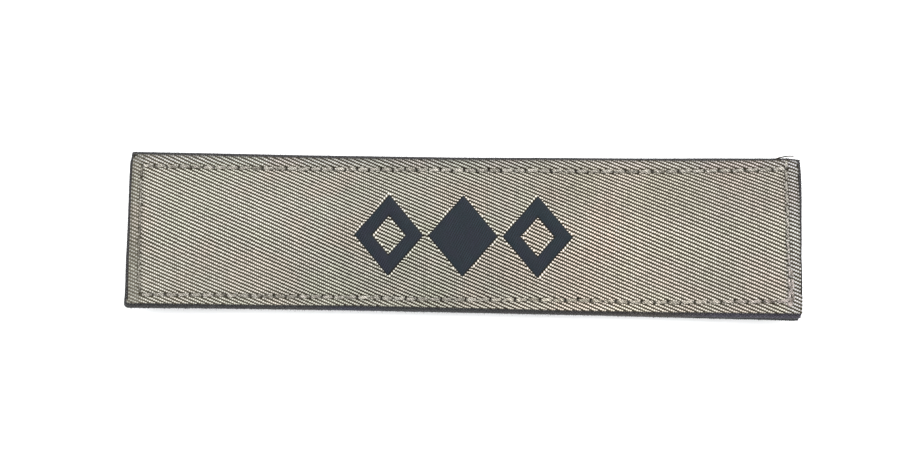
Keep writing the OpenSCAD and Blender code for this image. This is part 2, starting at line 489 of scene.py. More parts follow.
def stretched(value, plain, real):
    """Moves value so that the knots at plain come to lie at real, which may be arrays."""
    result = real[0] + (value - plain[0])
    for k in range(len(plain) - 1):
        t = (value - plain[k]) / (plain[k + 1] - plain[k])
        result = np.where(value >= plain[k], mix(real[k], real[k + 1], t), result)
    return result


# Twill face

def lines_beside(places, offsets):
    return [p + d for p in places for d in offsets]


def face_mesh():
    """Ground of the twill: fine along the edges and the seam, with a pit at each needle hole."""
    u_knots = (-62.68, -60.90, 61.0, 62.90)
    v_knots = (-13.90, -12.10, 12.70, 14.48)
    pit = (-0.26, -0.12, 0, 0.12, 0.26)
    slope = (-0.95, -0.6, -0.35, 0.35, 0.6, 0.95)
    edge = (0, 0.12, 0.35)
    between = (0.66, 1.17, 1.68)
    holes_u = mix(u_knots[1], u_knots[2], looked_up(PACE, np.linspace(0, 1, LONG_STITCHES + 1)))
    holes_v = np.linspace(v_knots[1], v_knots[2], SHORT_STITCHES + 1)
    u = lines_beside(holes_u, pit) + lines_beside(holes_u[:-1], between)
    v = lines_beside(holes_v, pit[1:4]) + lines_beside(holes_v[:-1], between[::2])
    for lines, knots in ((u, u_knots), (v, v_knots)):
        lines += lines_beside(knots[1:3], slope)
        lines += [knots[0] + e for e in edge] + [knots[3] - e for e in edge]
    u, v = np.meshgrid(np.unique(np.round(u, 2)), np.unique(np.round(v, 2)), indexing="ij")
    x = stretched(u, u_knots, (left_x(FACE, v), seam_left_x(v), seam_right_x(v), right_x(FACE, v)))
    y = stretched(v, v_knots, (edge_y(FACE, 1, x), seam_near_y(x), seam_far_y(x), edge_y(FACE, 0, x)))
    away = hole_share(x, y)
    pits = PIT_DEPTH * np.clip(1 - away / PIT_REACH, 0, 1) ** 0.7
    top = face_top(x, y) - GROUND_DROP - pits
    points, faces = slab(x, y, top, FACE_Z + curl(x), 0.02)
    tone = np.zeros(len(points))
    tone[:away.size] = PIT_TONE * np.exp(-(away.ravel() / PIT_TONE_REACH) ** 2)
    return points, faces, tone


def thread_places():
    """Places along X of the light threads, the outermost of which the ends of the face cut off."""
    places = [left_x(FACE, 0) - BEYOND_ENDS[0]]
    while places[-1] < right_x(FACE, 0) + BEYOND_ENDS[1]:
        places.append(places[-1] + looked_up(THREAD_PITCH, places[-1]))
    return np.array(places)


def gathered(x, away, start, left, right):
    """Share by which the threads are drawn in at a distance from the tape's middle."""
    return np.where(x > 0, right, left) * np.maximum(0, away - start)


def thread_x(x, y):
    """Place along X of a light thread at y. The seam gathers the threads towards the middle."""
    return x * (1 - gathered(x, y, *GATHER_FAR) - gathered(x, -y, *GATHER_NEAR)) - LEAN * y


def tucked(x, y):
    """Moves places along X that lie too close to the ends of the face a little inwards."""
    return np.clip(x, left_x(FACE, y) + FLOAT_W * TUCK, right_x(FACE, y) - FLOAT_W * TUCK)


PLACES_Y = np.linspace(-16, 16, 129)


def pick_counts(x):
    """Count of dark threads from the middle of the tape up to each of PLACES_Y."""
    density = [np.interp(x, DENSITY_X, row[1:]) for row in DENSITY]
    between = np.interp((PLACES_Y[1:] + PLACES_Y[:-1]) / 2, DENSITY[:, 0], density)
    counts = np.concatenate([[0], np.cumsum(between * np.diff(PLACES_Y))]) / REPEAT
    return counts - np.interp(0, PLACES_Y, counts)


# The lozenges and whether each is open, and the width of an open one's sides
LOZENGES = {"lozenge_left": True, "lozenge_middle": False, "lozenge_right": True}
STROKE = 2.6


def lozenge_spans(name, x, inset):
    """Stretches along Y that a lozenge covers at a place along X, drawn in by inset."""
    cx, cy = middle_of(name)
    a, b = half_of(name)

    def half(depth):
        k = 1 - depth * math.hypot(a, b) / (a * b)
        return b * (k - abs(x - cx) / a)

    outer, inner = half(inset), half(STROKE - inset)
    if outer <= 0:
        return []
    if not LOZENGES[name] or inner <= 0:
        return [(cy - outer, cy + outer)]
    return [(cy - outer, cy - inner), (cy + inner, cy + outer)]


def joined(spans):
    """Merges stretches that overlap or all but touch."""
    merged = []
    for a, b in sorted(spans):
        if merged and a < merged[-1][1] + 0.05:
            merged[-1] = (merged[-1][0], max(b, merged[-1][1]))
        else:
            merged.append((a, b))
    return merged


def without(spans, holes):
    """Stretches less what holes cover."""
    for c, d in holes:
        parts = [part for a, b in spans for part in ((a, min(b, c)), (max(a, d), b))]
        spans = [(a, b) for a, b in parts if a < b]
    return spans


def twill_floats(random):
    """Light floats of the face: place, half length and tone of each, then places of the dark picks."""
    rows, picks = [], []
    for i, x in enumerate(thread_places()):
        near, far = edge_y(FACE, 1, x) + 0.02, edge_y(FACE, 0, x) - 0.02
        wobble = WAVER * math.sin(x / WAVER_L) + random.normal(0, 0.008)
        start = (wobble - i * TWILL_STEP) / REPEAT % 1
        counts = pick_counts(x)
        middles = np.interp(np.arange(start - 22, 22, 0.5), counts, PLACES_Y)
        figure = [span for name in LOZENGES for span in lozenge_spans(name, x, 0)]
        spans = []
        for middle in middles[::2]:
            half = FLOAT_L / 2 * (1 + random.normal(0, 0.03))
            a, b = max(near, middle - half), min(far, middle + half)
            if b - a > SHORT_AT_EDGE:
                spans.append((a, b))
        for gap in middles[1::2]:
            if near < gap < far and not any(c - 0.15 < gap < d + 0.15 for c, d in figure):
                picks.append((x, gap))
        rim = []
        if figure:
            rim = [(a - HALO, b + HALO) for a, b in figure]
            spans = without(joined(spans + rim), figure)
        thread_tone = random.normal(0.5, 0.025)
        for a, b in spans:
            if b - a > SHORT_FLOAT:
                at_rim = any(a < d and b > c for c, d in rim)
                # A float cut short by the far edge is darkened, so it shows no full painted highlight
                cut = max(0, 0.9 - (b - a) / FLOAT_L) if b == far else 0
                tone = random.normal(thread_tone, 0.06) + 0.4 * at_rim - 0.9 * cut
                rows.append((x, (a + b) / 2, (b - a) / 2, tone))
    return np.array(rows), np.array(picks)


def on_twill(x, y):
    """True where a thread lies on the face, clear of the needle holes and the cropped corner."""
    corner = (x - left_x(FACE, y)) + (edge_y(FACE, 0, x) - y)
    return (inside(FACE, x, y) > EDGE_CLEAR) & (hole_share(x, y) > 1) & (corner > CROPPED_CORNER)


def rim_shade(x, y):
    """How far a float lies in the shade of the face's far edge or ends, from 0 to 1."""
    away = np.minimum.reduce([x - left_x(FACE, y), right_x(FACE, y) - x, edge_y(FACE, 0, x) - y])
    return np.exp(-(away / RIM_SHADE) ** 2)


def margins(x, y):
    """How far a place lies beyond the near, far and left side of the seam, each from 0 to 1."""
    beyond = (y - seam_near_y(x) + MARGIN_START, seam_far_y(x) + MARGIN_START - y, x - seam_left_x(y))
    return [1 / (1 + np.exp(depth / MARGIN_BLEND)) for depth in beyond]


def outwards(away, reach=6):
    """A distance as a share of reach, kept between 0 and 1."""
    return np.clip(away / reach, 0, 1)


def patches(x, y):
    """Slow change over the cloth between rows of dots, at -1, and unbroken lines, at 1."""
    return np.sin(x / 3.1 + 1.3 * np.sin(y / 4.2)) * np.cos(y / 2.7 + np.sin(x / 5.3))


def slopes(x, y):
    """Rise of the face's top along X and along Y."""
    step = 0.1
    along_x = (face_top(x + step, y) - face_top(x - step, y)) / (2 * step)
    along_y = (face_top(x, y + step) - face_top(x, y - step)) / (2 * step)
    return along_x, along_y


def halves(name, x, centre, frames, template, tone, even, material):
    """Two pieces, left and right of the middle, each with its copies of the template."""
    pieces = []
    for side, part in (("left", x < 0), ("right", x >= 0)):
        heap = Heap()
        heap.copies(template, centre[part], frames[part], tone[part], even[part])
        pieces.append(heap.piece(f"{name}_{side}", "twill", material))
    return pieces


def lay_floats(floats, random, material):
    """Lays the light floats, narrower where the seam holds them down and darker there with painted shade.
    """
    x, y, half, tone = floats.T
    lean = (thread_x(x, y + half) - thread_x(x, y - half)) / 2
    x = thread_x(x, y) + random.normal(0, 0.006, len(x))
    y = y + random.normal(0, 1, len(y)) * looked_up(FLOAT_STRAY, x)
    x, y, half, tone, lean = np.array([x, y, half, tone, lean])[:, on_twill(x, y)]
    count = len(x)
    seam = np.exp(-(seam_distance(x, y) / SEAM_HOLD) ** 2)
    x = tucked(x + random.normal(0, 0.04, count) * seam, y)
    y = y + random.normal(0, 0.07, count) * seam
    rim = rim_shade(x, y)
    near, far, left = margins(x, y)
    ends = outwards(np.abs(y) - 6, 3)
    # even levels the painted shading: more in the left margin, less in the near margin and at the ends
    even = 0.24 * left - 0.10 * near - 0.14 - 0.08 * ends + 0.04 * patches(x, y)
    inner = looked_up(INNER_TONE, x) * np.exp(-((y - seam_near_y(x) - INNER_AT) / INNER_HALF) ** 2)
    upper = outwards(y) * outwards(x, 20) * (1 - far)
    # Close to the seam the floats get painted shade of its furrow
    tone = tone - 0.16 * seam - 0.36 * rim - 0.36 * left - 0.12 * far
    tone = tone + near * looked_up(NEAR_TONE, x) + inner - 0.08 * outwards(-y) - 0.14 * upper
    width = FLOAT_W / 2 * (1 - 0.12 * seam - 0.15 * rim) * (1 + random.normal(0, 0.03, count))
    slope, rise = slopes(x, y)
    height = FLOAT_H * (1 + random.normal(0, 0.05, count))
    centre = vectors(x, y, face_top(x, y) - FLOAT_H + 0.01)
    frames = frames_of((lean, half, rise * half), (width, 0, slope * width), (0, 0, height))
    return halves("twill_floats", x, centre, frames, dome_template(), tone, even, material)


def lay_picks(picks, random, material):
    """Lays the dark threads where the light ones dive under them."""
    x, y = picks.T
    x = thread_x(x, y) + random.normal(0, 0.01, len(x))
    y = y + random.normal(0, 0.01, len(x))
    x, y = np.array([x, y])[:, on_twill(x, y)]
    count = len(x)
    slope, rise = slopes(x, y)
    half = PICK_L / 2 * (1 + random.normal(0, 0.04, count))
    width = PICK_W / 2 * (1 + random.normal(0, 0.05, count))
    centre = vectors(x, y, face_top(x, y) - PICK_DROP - PICK_H)
    frames = frames_of((half, 0, slope * half), (0, width, rise * width), (0, 0, PICK_H))
    far, left = margins(x, y)[1:]
    tone = random.normal(0.23, 0.06, count) + 0.35 * left + 0.15 * far + 0.10 * outwards(-y)
    template = dome_template(PICK_STATIONS)
    return halves("twill_picks", x, centre, frames, template, tone, np.zeros(count), material)


def make_twill(random, light, dark):
    floats, picks = twill_floats(random)
    return lay_floats(floats, random, light) + lay_picks(picks, random, dark)


# Cut ends of the light and of the dark threads of the face: the heights at which they lie, then
# the least and the most of half their height, of half their width and of how far they stand out
LIGHT_LEVELS = (0.28, 0.62)
LIGHT_ENDS = ((0.11, 0.20), (0.09, 0.15), (0.05, 0.14))
DARK_LEVEL = 0.42
DARK_ENDS = ((0.20, 0.34), (0.06, 0.09), (0.05, 0.12))


def edge_domes(heap, centre, outward, half, wide, stand, tone, lean=0):
    """Adds cut thread ends that stand out of an edge, longest along Z."""
    out_x, out_y = outward.T
    frames = frames_of((-out_y * lean * half, out_x * lean * half, half),
                       (out_y * wide, -out_x * wide, 0), (out_x * stand, out_y * stand, 0))
    heap.copies(dome_template(), centre, frames, tone)


def cut_ends(heap, random, centre, out, sizes, tone, spread):
    """Adds cut thread ends of random sizes. out is their direction in the tape's plane."""
    count = len(centre)
    half, wide, stand = [random.uniform(*limits, count) for limits in sizes]
    outward = np.tile(out, (count, 1))
    edge_domes(heap, centre, outward, half, wide, stand, random.normal(tone, spread, count))


def make_face_ends(random, light, dark):
    """Cut ends of the light threads on the long edges and of the dark ones on the short edges."""
    heap = Heap()
    for side, out in ((0, 1), (1, -1)):
        x = np.repeat(thread_places(), 2)
        y = edge_y(FACE, side, x) - out * 0.05
        x = thread_x(x, y)
        level = FACE_Z + curl(x) + np.tile(LIGHT_LEVELS, len(x) // 2)
        on_face = (x > left_x(FACE, y)) & (x < right_x(FACE, y))
        x, y, level = np.array([tucked(x, y), y, level])[:, on_face]
        count = len(x)
        centre = vectors(x + random.normal(0, 0.03, count), y, level + random.normal(0, 0.06, count))
        cut_ends(heap, random, centre, (0, out), LIGHT_ENDS, 0.05, 0.12)
    pieces = [heap.piece("face_thread_ends", "twill", light)]

    heap = Heap()
    y = np.arange(edge_y(FACE, 1, 0) + 0.2, edge_y(FACE, 0, 0) - 0.1, REPEAT / 4)
    for x, out in ((left_x(FACE, y), -1), (right_x(FACE, y), 1)):
        level = FACE_Z + curl(x) + DARK_LEVEL + random.normal(0, 0.08, len(y))
        cut_ends(heap, random, vectors(x - out * 0.04, y, level), (out, 0), DARK_ENDS, 0.25, 0.1)
    pieces.append(heap.piece("face_pick_ends", "twill", dark))
    return pieces


# Figure

SATIN_PITCH = 0.197
SATIN_REPEAT = 0.866
SATIN_FLOAT = 0.80
# How far the body of a lozenge lies below the tops of its floats, and its steps along a side
BODY_DROP = 0.12
BODY_STEPS = 24


def lozenge_floats(name, random):
    """Dark floats of one lozenge, offset from thread to thread as in a satin."""
    rows = []
    threads = int((high(name, X) - low(name, X)) / SATIN_PITCH)
    for i in range(threads + 1):
        x = low(name, X) + (i + 0.5) * SATIN_PITCH
        start = -16 + (2 * i % 5) / 5 * SATIN_REPEAT
        cells = [(start + k * SATIN_REPEAT, start + k * SATIN_REPEAT + SATIN_FLOAT) for k in range(37)]
        tone = random.normal(0.5, 0.06)
        for c, d in lozenge_spans(name, x, 0.20):
            for a, b in cells:
                a, b = max(a, c), min(b, d)
                if b - a > SHORT_FLOAT:
                    rows.append((x, (a + b) / 2, (b - a) / 2, random.normal(tone, 0.12)))
    return np.array(rows)


def rhombus_ring(name, inset, z):
    """The four corners of a lozenge, drawn in by inset."""
    cx, cy = middle_of(name)
    a, b = half_of(name)
    k = 1 - inset * math.hypot(a, b) / (a * b)
    return [(cx - k * a, cy, z), (cx, cy - k * b, z), (cx + k * a, cy, z), (cx, cy + k * b, z)]


def divided(ring, steps):
    """A closed ring with each side cut into steps."""
    ring = np.array(ring)
    following = np.roll(ring, -1, axis=0)
    return np.array([mix(a, b, k / steps) for a, b in zip(ring, following) for k in range(steps)])


def lozenge_body(name, top):
    """Body of a lozenge with rounded edges: a ring if it is open, or else a plate."""
    profile = [(0.02, FIGURE_Z), (0.0, FIGURE_Z + 0.08), (0.02, top - 0.05), (0.09, top)]
    if LOZENGES[name]:
        profile += [(STROKE - inset, z) for inset, z in reversed(profile)]
    else:
        profile += [(1.2, top), (2.4, top), (3.6, top), (4.6, top)]
    rings = [divided(rhombus_ring(name, inset, z), BODY_STEPS) for inset, z in profile]
    count = 4 * BODY_STEPS
    faces = []
    for k in range(len(rings) if LOZENGES[name] else len(rings) - 1):
        a = np.arange(count) + k * count
        b = np.arange(count) + (k + 1) % len(rings) * count
        faces += np.stack([a, np.roll(a, -1), np.roll(b, -1), b], axis=1).tolist()
    if not LOZENGES[name]:
        faces.append(list(np.arange(count) + (len(rings) - 1) * count))
        faces.append(list(np.arange(count)[::-1]))
    return np.concatenate(rings), faces


def make_lozenge(name, random, material):
    """A lozenge: a dark body that carries its floats."""
    top = FIGURE_Z + FIGURE_T - BODY_DROP
    x, y, half, tone = lozenge_floats(name, random).T
    height = 0.13 + random.normal(0, 0.006, len(x))
    frames = frames_of((0, half, 0), (SATIN_PITCH * 0.47, 0, 0), (0, 0, height))
    heap = Heap()
    heap.add(*lozenge_body(name, top), -1.0)
    heap.copies(dome_template(), vectors(x, y, top - 0.02), frames, tone)
    piece = heap.piece(name + "_weave", "figure", material)
    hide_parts(name)
    return piece


# Dark strips

def strip_mesh(layer, z_low, z_high, bulge):
    """Closed strip on a layer's outline with rounded corners."""
    quarter = 1 - np.cos(np.radians([0, 22.5, 45, 67.5, 90]))
    ends = 0.9 * quarter
    left = left_x(layer, 0)
    right = right_x(layer, 0)
    u = np.concatenate([left + ends, np.arange(left + 1.4, right - 1.2, 0.8), right - ends[::-1]])
    v = np.concatenate([[0, 0.01, 0.03], np.linspace(0.06, 0.94, 12), [0.97, 0.99, 1]])
    u, v = np.meshgrid(u, v, indexing="ij")
    y_plain = mix(-TAPE_W / 2, TAPE_W / 2, v)
    x = stretched(u, (left, right), (left_x(layer, y_plain), right_x(layer, y_plain)))

    def corner(radius, depth):
        d = np.clip(radius - depth, 0, radius)
        return radius - np.sqrt(radius * radius - d * d)

    near = edge_y(layer, 1, x)
    near = near + corner(CORNER_NEAR_LEFT, u - left) + corner(CORNER_NEAR_RIGHT, right - u)
    far = edge_y(layer, 0, x)
    far = far - corner(CORNER_FAR_LEFT, u - left) - corner(CORNER_FAR_RIGHT, right - u)
    y = mix(near, far, v)
    return slab(x, y, z_high + curl(x), z_low + curl(x), bulge)


def make_strip(name, layer, material, node):
    slot, z_low, thickness, _ = STRIPS[layer]
    points, faces = strip_mesh(layer, z_low, z_low + thickness, 0.03)
    # The strip's body takes the lightest painted shading
    piece = place(name, points, faces, slot, material, crown=np.ones(len(points)))
    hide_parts(node)
    return piece


def outline_points(layer, pitch):
    """Points along a layer's outline at even steps, with the outward direction at each."""
    xs = np.arange(left_x(layer, 0) + 0.5, right_x(layer, 0) - 0.3, pitch)
    ys = np.arange(edge_y(layer, 1, 0) + 0.5, edge_y(layer, 0, 0) - 0.3, pitch)
    rows = [vectors(xs, edge_y(layer, side, xs), 0, out) for side, out in ((1, -1), (0, 1))]
    rows += [vectors(x, ys, out, 0) for x, out in ((left_x(layer, ys), -1), (right_x(layer, ys), 1))]
    rows = np.concatenate(rows)
    return rows[:, :2], rows[:, 2:]


def make_ends(layer, material, random):
    """Cut thread ends that stand side by side along the edge of a dark strip."""
    slot, z_low, thickness, pitch = STRIPS[layer]
    points, outward = outline_points(layer, pitch)
    count = len(points)
    half = thickness * 0.42 * (1 + random.normal(0, 0.06, count))
    level = z_low + thickness / 2 + curl(points[:, 0]) + random.normal(0, 0.03, count)
    lean = random.normal(0, 0.10, count)
    stand = 0.12 + random.normal(0, 0.03, count)
    centre = vectors(*(points - outward * 0.03).T, level)
    heap = Heap()
    edge_domes(heap, centre, outward, half, pitch * 0.46, stand, random.normal(0.5, 0.2, count), lean)
    return heap.piece(slot + "_thread_ends", slot, material)


def tube(path, radius, sides, taper=1.0):
    """Closed tube along a path, which thins towards its end to taper times its radius."""
    path = np.asarray(path, float)
    direction = np.gradient(path, axis=0)
    direction /= np.linalg.norm(direction, axis=1)[:, None]
    side = np.cross(direction, [0.31, 0.17, 0.93])
    side /= np.linalg.norm(side, axis=1)[:, None]
    other = np.cross(direction, side)
    angle = np.arange(sides) * 2 * math.pi / sides
    ring = np.cos(angle)[None, :, None] * side[:, None] + np.sin(angle)[None, :, None] * other[:, None]
    scale = radius * np.linspace(1, taper, len(path))[:, None, None]
    points = (path[:, None] + ring * scale).reshape(-1, 3)
    i, j = np.meshgrid(np.arange(len(path) - 1), np.arange(sides), indexing="ij")
    a, b = i * sides + j, i * sides + (j + 1) % sides
    faces = np.stack([a, b, b + sides, a + sides], axis=2).reshape(-1, 4).tolist()
    last = (len(path) - 1) * sides
    faces.append(list(range(sides))[::-1])
    faces.append(list(range(last, last + sides)))
    return points, faces


def make_fray(random, material):
    """Short dark fibre ends that stand out of the backing strip's cut edge."""
    strands = Heap()
    points, outward = outline_points(BACKING, 0.42)
    for point, out in zip(points, outward):
        if random.random() > 0.75:
            continue
        side = np.array([-out[1], out[0]]) * random.normal(0, 0.5)
        level = BACKING_Z + float(curl(point[0])) + random.uniform(0.2, 0.95) * BACKING_T
        length = random.uniform(0.15, 0.45)
        rise = random.normal(0, 0.25)
        path = []
        for t in np.linspace(-0.3, 1, 4):
            flat = point + (out * t + side * t * abs(t)) * length
            path.append([flat[0], flat[1], level + rise * t * abs(t) * length])
        strands.add_tube(path, 0.022, 3, random.normal(0.4, 0.2), 0.4)
    return strands.piece("backing_fray", "backing", material)


# Hooks

HOOK_PITCH_X = 1.30
HOOK_PITCH_Y = 1.42
HOOK_R = 0.095
# Distance of the hooks from the seam and from the edges of the web
SEAM_CLEAR = 0.55
SELVEDGE = 0.95
# A hook's line: how far it leans over, and how far below the web it reaches
HOOK_LINE = [(0.0, -0.05), (0.04, 0.58), (0.12, 0.84), (0.27, 0.96),
             (0.42, 0.88), (0.47, 0.70), (0.44, 0.56)]


def make_hooks(random, material):
    """Rows of hooks under the web that lean to and fro from row to row."""
    points, faces = tube([(s, 0, -h) for s, h in HOOK_LINE], HOOK_R, 5)
    quads = np.array([f for f in faces if len(f) == 4])
    tip = [f for f in faces if len(f) == 5][1]
    heap = Heap()
    centres, frames = [], []
    rows = np.arange(edge_y(WEB, 1, 0) + 1.25, edge_y(WEB, 0, 0) - 1.0, HOOK_PITCH_Y)
    for r, y in enumerate(rows):
        way = 1 if r % 2 else -1
        first = left_x(WEB, 0) + 1.4 + 0.5 * HOOK_PITCH_X * (r % 2)
        for x in np.arange(first, right_x(WEB, 0) - 1.3, HOOK_PITCH_X):
            x = x + random.normal(0, 0.05)
            if seam_distance(x, y) < SEAM_CLEAR or inside(WEB, x, y) < SELVEDGE:
                continue
            turn = random.normal(0, 0.12)
            c, s = math.cos(turn), math.sin(turn)
            centres.append((x, y + random.normal(0, 0.04), WEB_Z + float(curl(x))))
            size = random.normal(1.0, 0.02)
            frames.append([(way * c * size, way * s * size, 0), (-s * way, c * way, 0), (0, 0, size)])
    centres, frames = np.array(centres), np.array(frames)
    tones = random.normal(0.5, 0.15, len(centres))
    heap.copies((points, np.ones(len(points)), quads), centres, frames, tones)
    caps = np.arange(len(centres))[:, None] * len(points) + np.array(tip)
    heap.faces.extend(caps.tolist())
    piece = heap.piece("hooks", "hooks", material)
    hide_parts("hook_field")
    return piece


# Seam

# The near, far, left and right side of the seam.
# Columns: tone of the thread, how far a stitch slants, how high it stands, its size
SIDE_LOOKS = [
    (0.36, 0.05, 0.06, 1.3), (0.42, 0.05, 0.08, 1.35),
    (0.14, 0.04, -0.03, 0.75), (0.60, 0.10, 0.12, 0.95),
]
# Further stitches at the near right corner, with both ends as places from that corner
BACK_TACK = [
    ((0.62, 0.0), (0.48, 2.0)), ((0.50, 2.15), (0.46, 4.25)), ((0.45, 4.4), (0.25, 5.9)),
    ((0.70, -0.1), (-0.6, -0.38)), ((0.30, 0.25), (-1.1, 0.1)), ((0.25, 1.0), (0.22, 3.0)),
    ((0.62, -0.5), (-0.5, -0.85)), ((0.55, 0.6), (-0.2, -0.75)),
]
# The plies of the thread: how many, their radius, how far they lie from the core, and their turns
PLIES = 3
PLY_R = 0.10
TWIST_R = 0.12
TWISTS = 1.4
# A stitch begins at this share of the way between two holes and covers that share of it.
# At each end it dives over a share of its length, down to a depth
STITCH_START = 0.09
STITCH_SPAN = 0.82
DIVE_SHARE = 0.13
DIVE_DEPTH = 0.45


def stitch_plies(strands, start, end, level, outward, random, tone, slant=0.06, rise=0.12, size=1.0):
    """Twisted plies from one needle hole to the next. outward is 1 on the face, -1 below."""
    start, end = np.asarray(start, float), np.asarray(end, float)
    direction = (end - start) / np.linalg.norm(end - start)
    side = np.array([-direction[1], direction[0]])
    bow = random.normal(0, 0.03)
    phase = random.uniform(0, math.pi)
    t = np.linspace(0, 1, 14 if outward > 0 else 10)
    dive = np.clip(np.minimum(t, 1 - t) / DIVE_SHARE, 0, 1)
    height = rise * np.sin(dive * math.pi / 2) - DIVE_DEPTH * (1 - dive) ** 1.5
    middle = start + np.outer(STITCH_START + STITCH_SPAN * t, end - start)
    middle = middle + np.outer(bow * np.sin(math.pi * t) + slant * (2 * t - 1), side)
    base = np.array([level(px, py) for px, py in middle])
    core = np.column_stack([middle, base + outward * (height + size * PLY_R * 0.6)])
    for k in range(PLIES):
        angle = 2 * math.pi * (TWISTS * t + k / PLIES) + phase
        ring = np.column_stack([np.outer(np.cos(angle), side), outward * np.sin(angle)])
        path = core + size * TWIST_R * ring
        strands.add_ply(path, core, size * PLY_R, 6, tone + random.normal(0, 0.20))


def face_seat(x, y):
    return float(face_top(x, y)) - 0.04


def web_seat(x, y):
    return WEB_Z + float(curl(x))


def make_seam(name, level, outward, random, material):
    """One row of stitches along each side."""
    strands = Heap()
    for side, (tone, *looks) in zip(SIDES, SIDE_LOOKS):
        for start, end in zip(side[:-1], side[1:]):
            stitch_plies(strands, start, end, level, outward, random, random.normal(tone, 0.05), *looks)
    if outward > 0:
        near_right, far_right = SIDES[0][-1], SIDES[1][-1]
        edge = (far_right[0] + 0.05, edge_y(FACE, 0, far_right[0]) - 0.1)
        stitch_plies(strands, far_right, edge, level, outward, random, 0.5)
        for start, end in BACK_TACK:
            start, end = near_right + start, near_right + end
            stitch_plies(strands, start, end, level, outward, random, 0.4, rise=0.08, size=1.1)
    return strands.piece(name, "thread", material)


def make_loose_fibre(material):
    """A dark fibre that has come loose along the far edge near the right corner."""
    strands = Heap()
    way = [(59.0, 14.70, 5.45), (59.6, 14.92, 5.65), (60.0, 15.02, 5.75), (60.42, 15.09, 5.80),
           (60.75, 15.18, 5.85), (61.4, 15.23, 5.90), (62.3, 15.22, 6.00)]
    strands.add_tube(way, 0.14, 6, 0.4, 0.9)
    return strands.piece("loose_fibre", "backing", material)


# Materials

class Shader:
    """A material's Principled shader, with short ways to add nodes before it."""

    def __init__(self, name, roughness, specular, sheen=0.0):
        self.material = bpy.data.materials.new(name)
        self.material.use_nodes = True
        self.tree = self.material.node_tree
        self.surface = self.tree.nodes["Principled BSDF"]
        self.fill(self.surface, {
            "Roughness": roughness, "Specular IOR Level": specular, "Sheen Weight": sheen})
        self.place = self.node("ShaderNodeTexCoord", {}).outputs["Object"]

    def fill(self, node, inputs):
        """Gives inputs of a node a number each, or links them to an output."""
        for key, value in inputs.items():
            if isinstance(value, bpy.types.NodeSocket):
                self.tree.links.new(value, node.inputs[key])
            else:
                node.inputs[key].default_value = value

    def node(self, kind, inputs, **settings):
        made = self.tree.nodes.new(kind)
        for key, value in settings.items():
            setattr(made, key, value)
        self.fill(made, inputs)
        return made

    def number(self, name):
        """A number that the mesh carries at each point."""
        return self.node("ShaderNodeAttribute", {}, attribute_name=name).outputs["Fac"]

    def scaled(self, x, y, z):
        """The place in millimetres, stretched by x, y and z."""
        inputs = {"Vector": self.place, "Scale": (x / MM, y / MM, z / MM)}
        return self.node("ShaderNodeMapping", inputs).outputs["Vector"]

    def noise(self, x, y, z, detail=2.0):
        inputs = {"Vector": self.scaled(x, y, z), "Scale": 1.0, "Detail": detail}
        return self.node("ShaderNodeTexNoise", inputs).outputs["Fac"]

    def parts(self, place):
        """Outputs for the three coordinates of a place."""
        return self.node("ShaderNodeSeparateXYZ", {0: place}).outputs

    def share(self, axis, start, end):
        """Share of the way from one place along an axis to another, both in millimetres."""
        inputs = {"Value": self.parts(self.place)[axis], "From Min": start * MM, "From Max": end * MM}
        return self.node("ShaderNodeMapRange", inputs).outputs["Result"]

    def along(self):
        return self.share("X", -HALF_L, HALF_L)

    def plain_weave(self, pitch_x, pitch_y):
        """Bumps of a plain weave, whose pitches are in millimetres."""
        parts = self.parts(self.scaled(2 * math.pi / pitch_x, 2 * math.pi / pitch_y, 1))
        waves = [self.node("ShaderNodeMath", {0: parts[k]}, operation="SINE") for k in (X, Y)]
        inputs = {k: wave.outputs[0] for k, wave in enumerate(waves)}
        return self.node("ShaderNodeMath", inputs, operation="MULTIPLY").outputs[0]

    def ramp(self, source, *stops):
        """Colours, or levels of grey, at places between 0 and 1."""
        made = self.node("ShaderNodeValToRGB", {"Fac": source})
        elements = made.color_ramp.elements
        while len(elements) < len(stops):
            elements.new(0.5)
        for element, (position, colour) in zip(elements, stops):
            element.position = position
            element.color = (*np.broadcast_to(colour, 3), 1)
        return made.outputs["Color"]

    def tone(self, *stops):
        return self.ramp(self.number("tone"), *stops)

    def crown(self, *stops):
        return self.ramp(self.number("crown"), *stops)

    def mixed(self, share, a, b, how="MIX"):
        """Colour a, and as far as share says colour b."""
        inputs = {0: share, 6: a, 7: b}
        return self.node("ShaderNodeMix", inputs, data_type="RGBA", blend_type=how).outputs[2]

    def times(self, colour, *others):
        """The product of several colours."""
        for other in others:
            colour = self.mixed(1.0, colour, other, "MULTIPLY")
        return colour

    def done(self, colour, *bump):
        """Sets the colour and, where given, the height, strength and depth of bumps."""
        self.fill(self.surface, {"Base Color": colour})
        if bump:
            height, strength, depth = bump
            inputs = {"Height": height, "Strength": strength, "Distance": depth * MM}
            self.fill(self.surface, {"Normal": self.node("ShaderNodeBump", inputs).outputs["Normal"]})
        return self.material


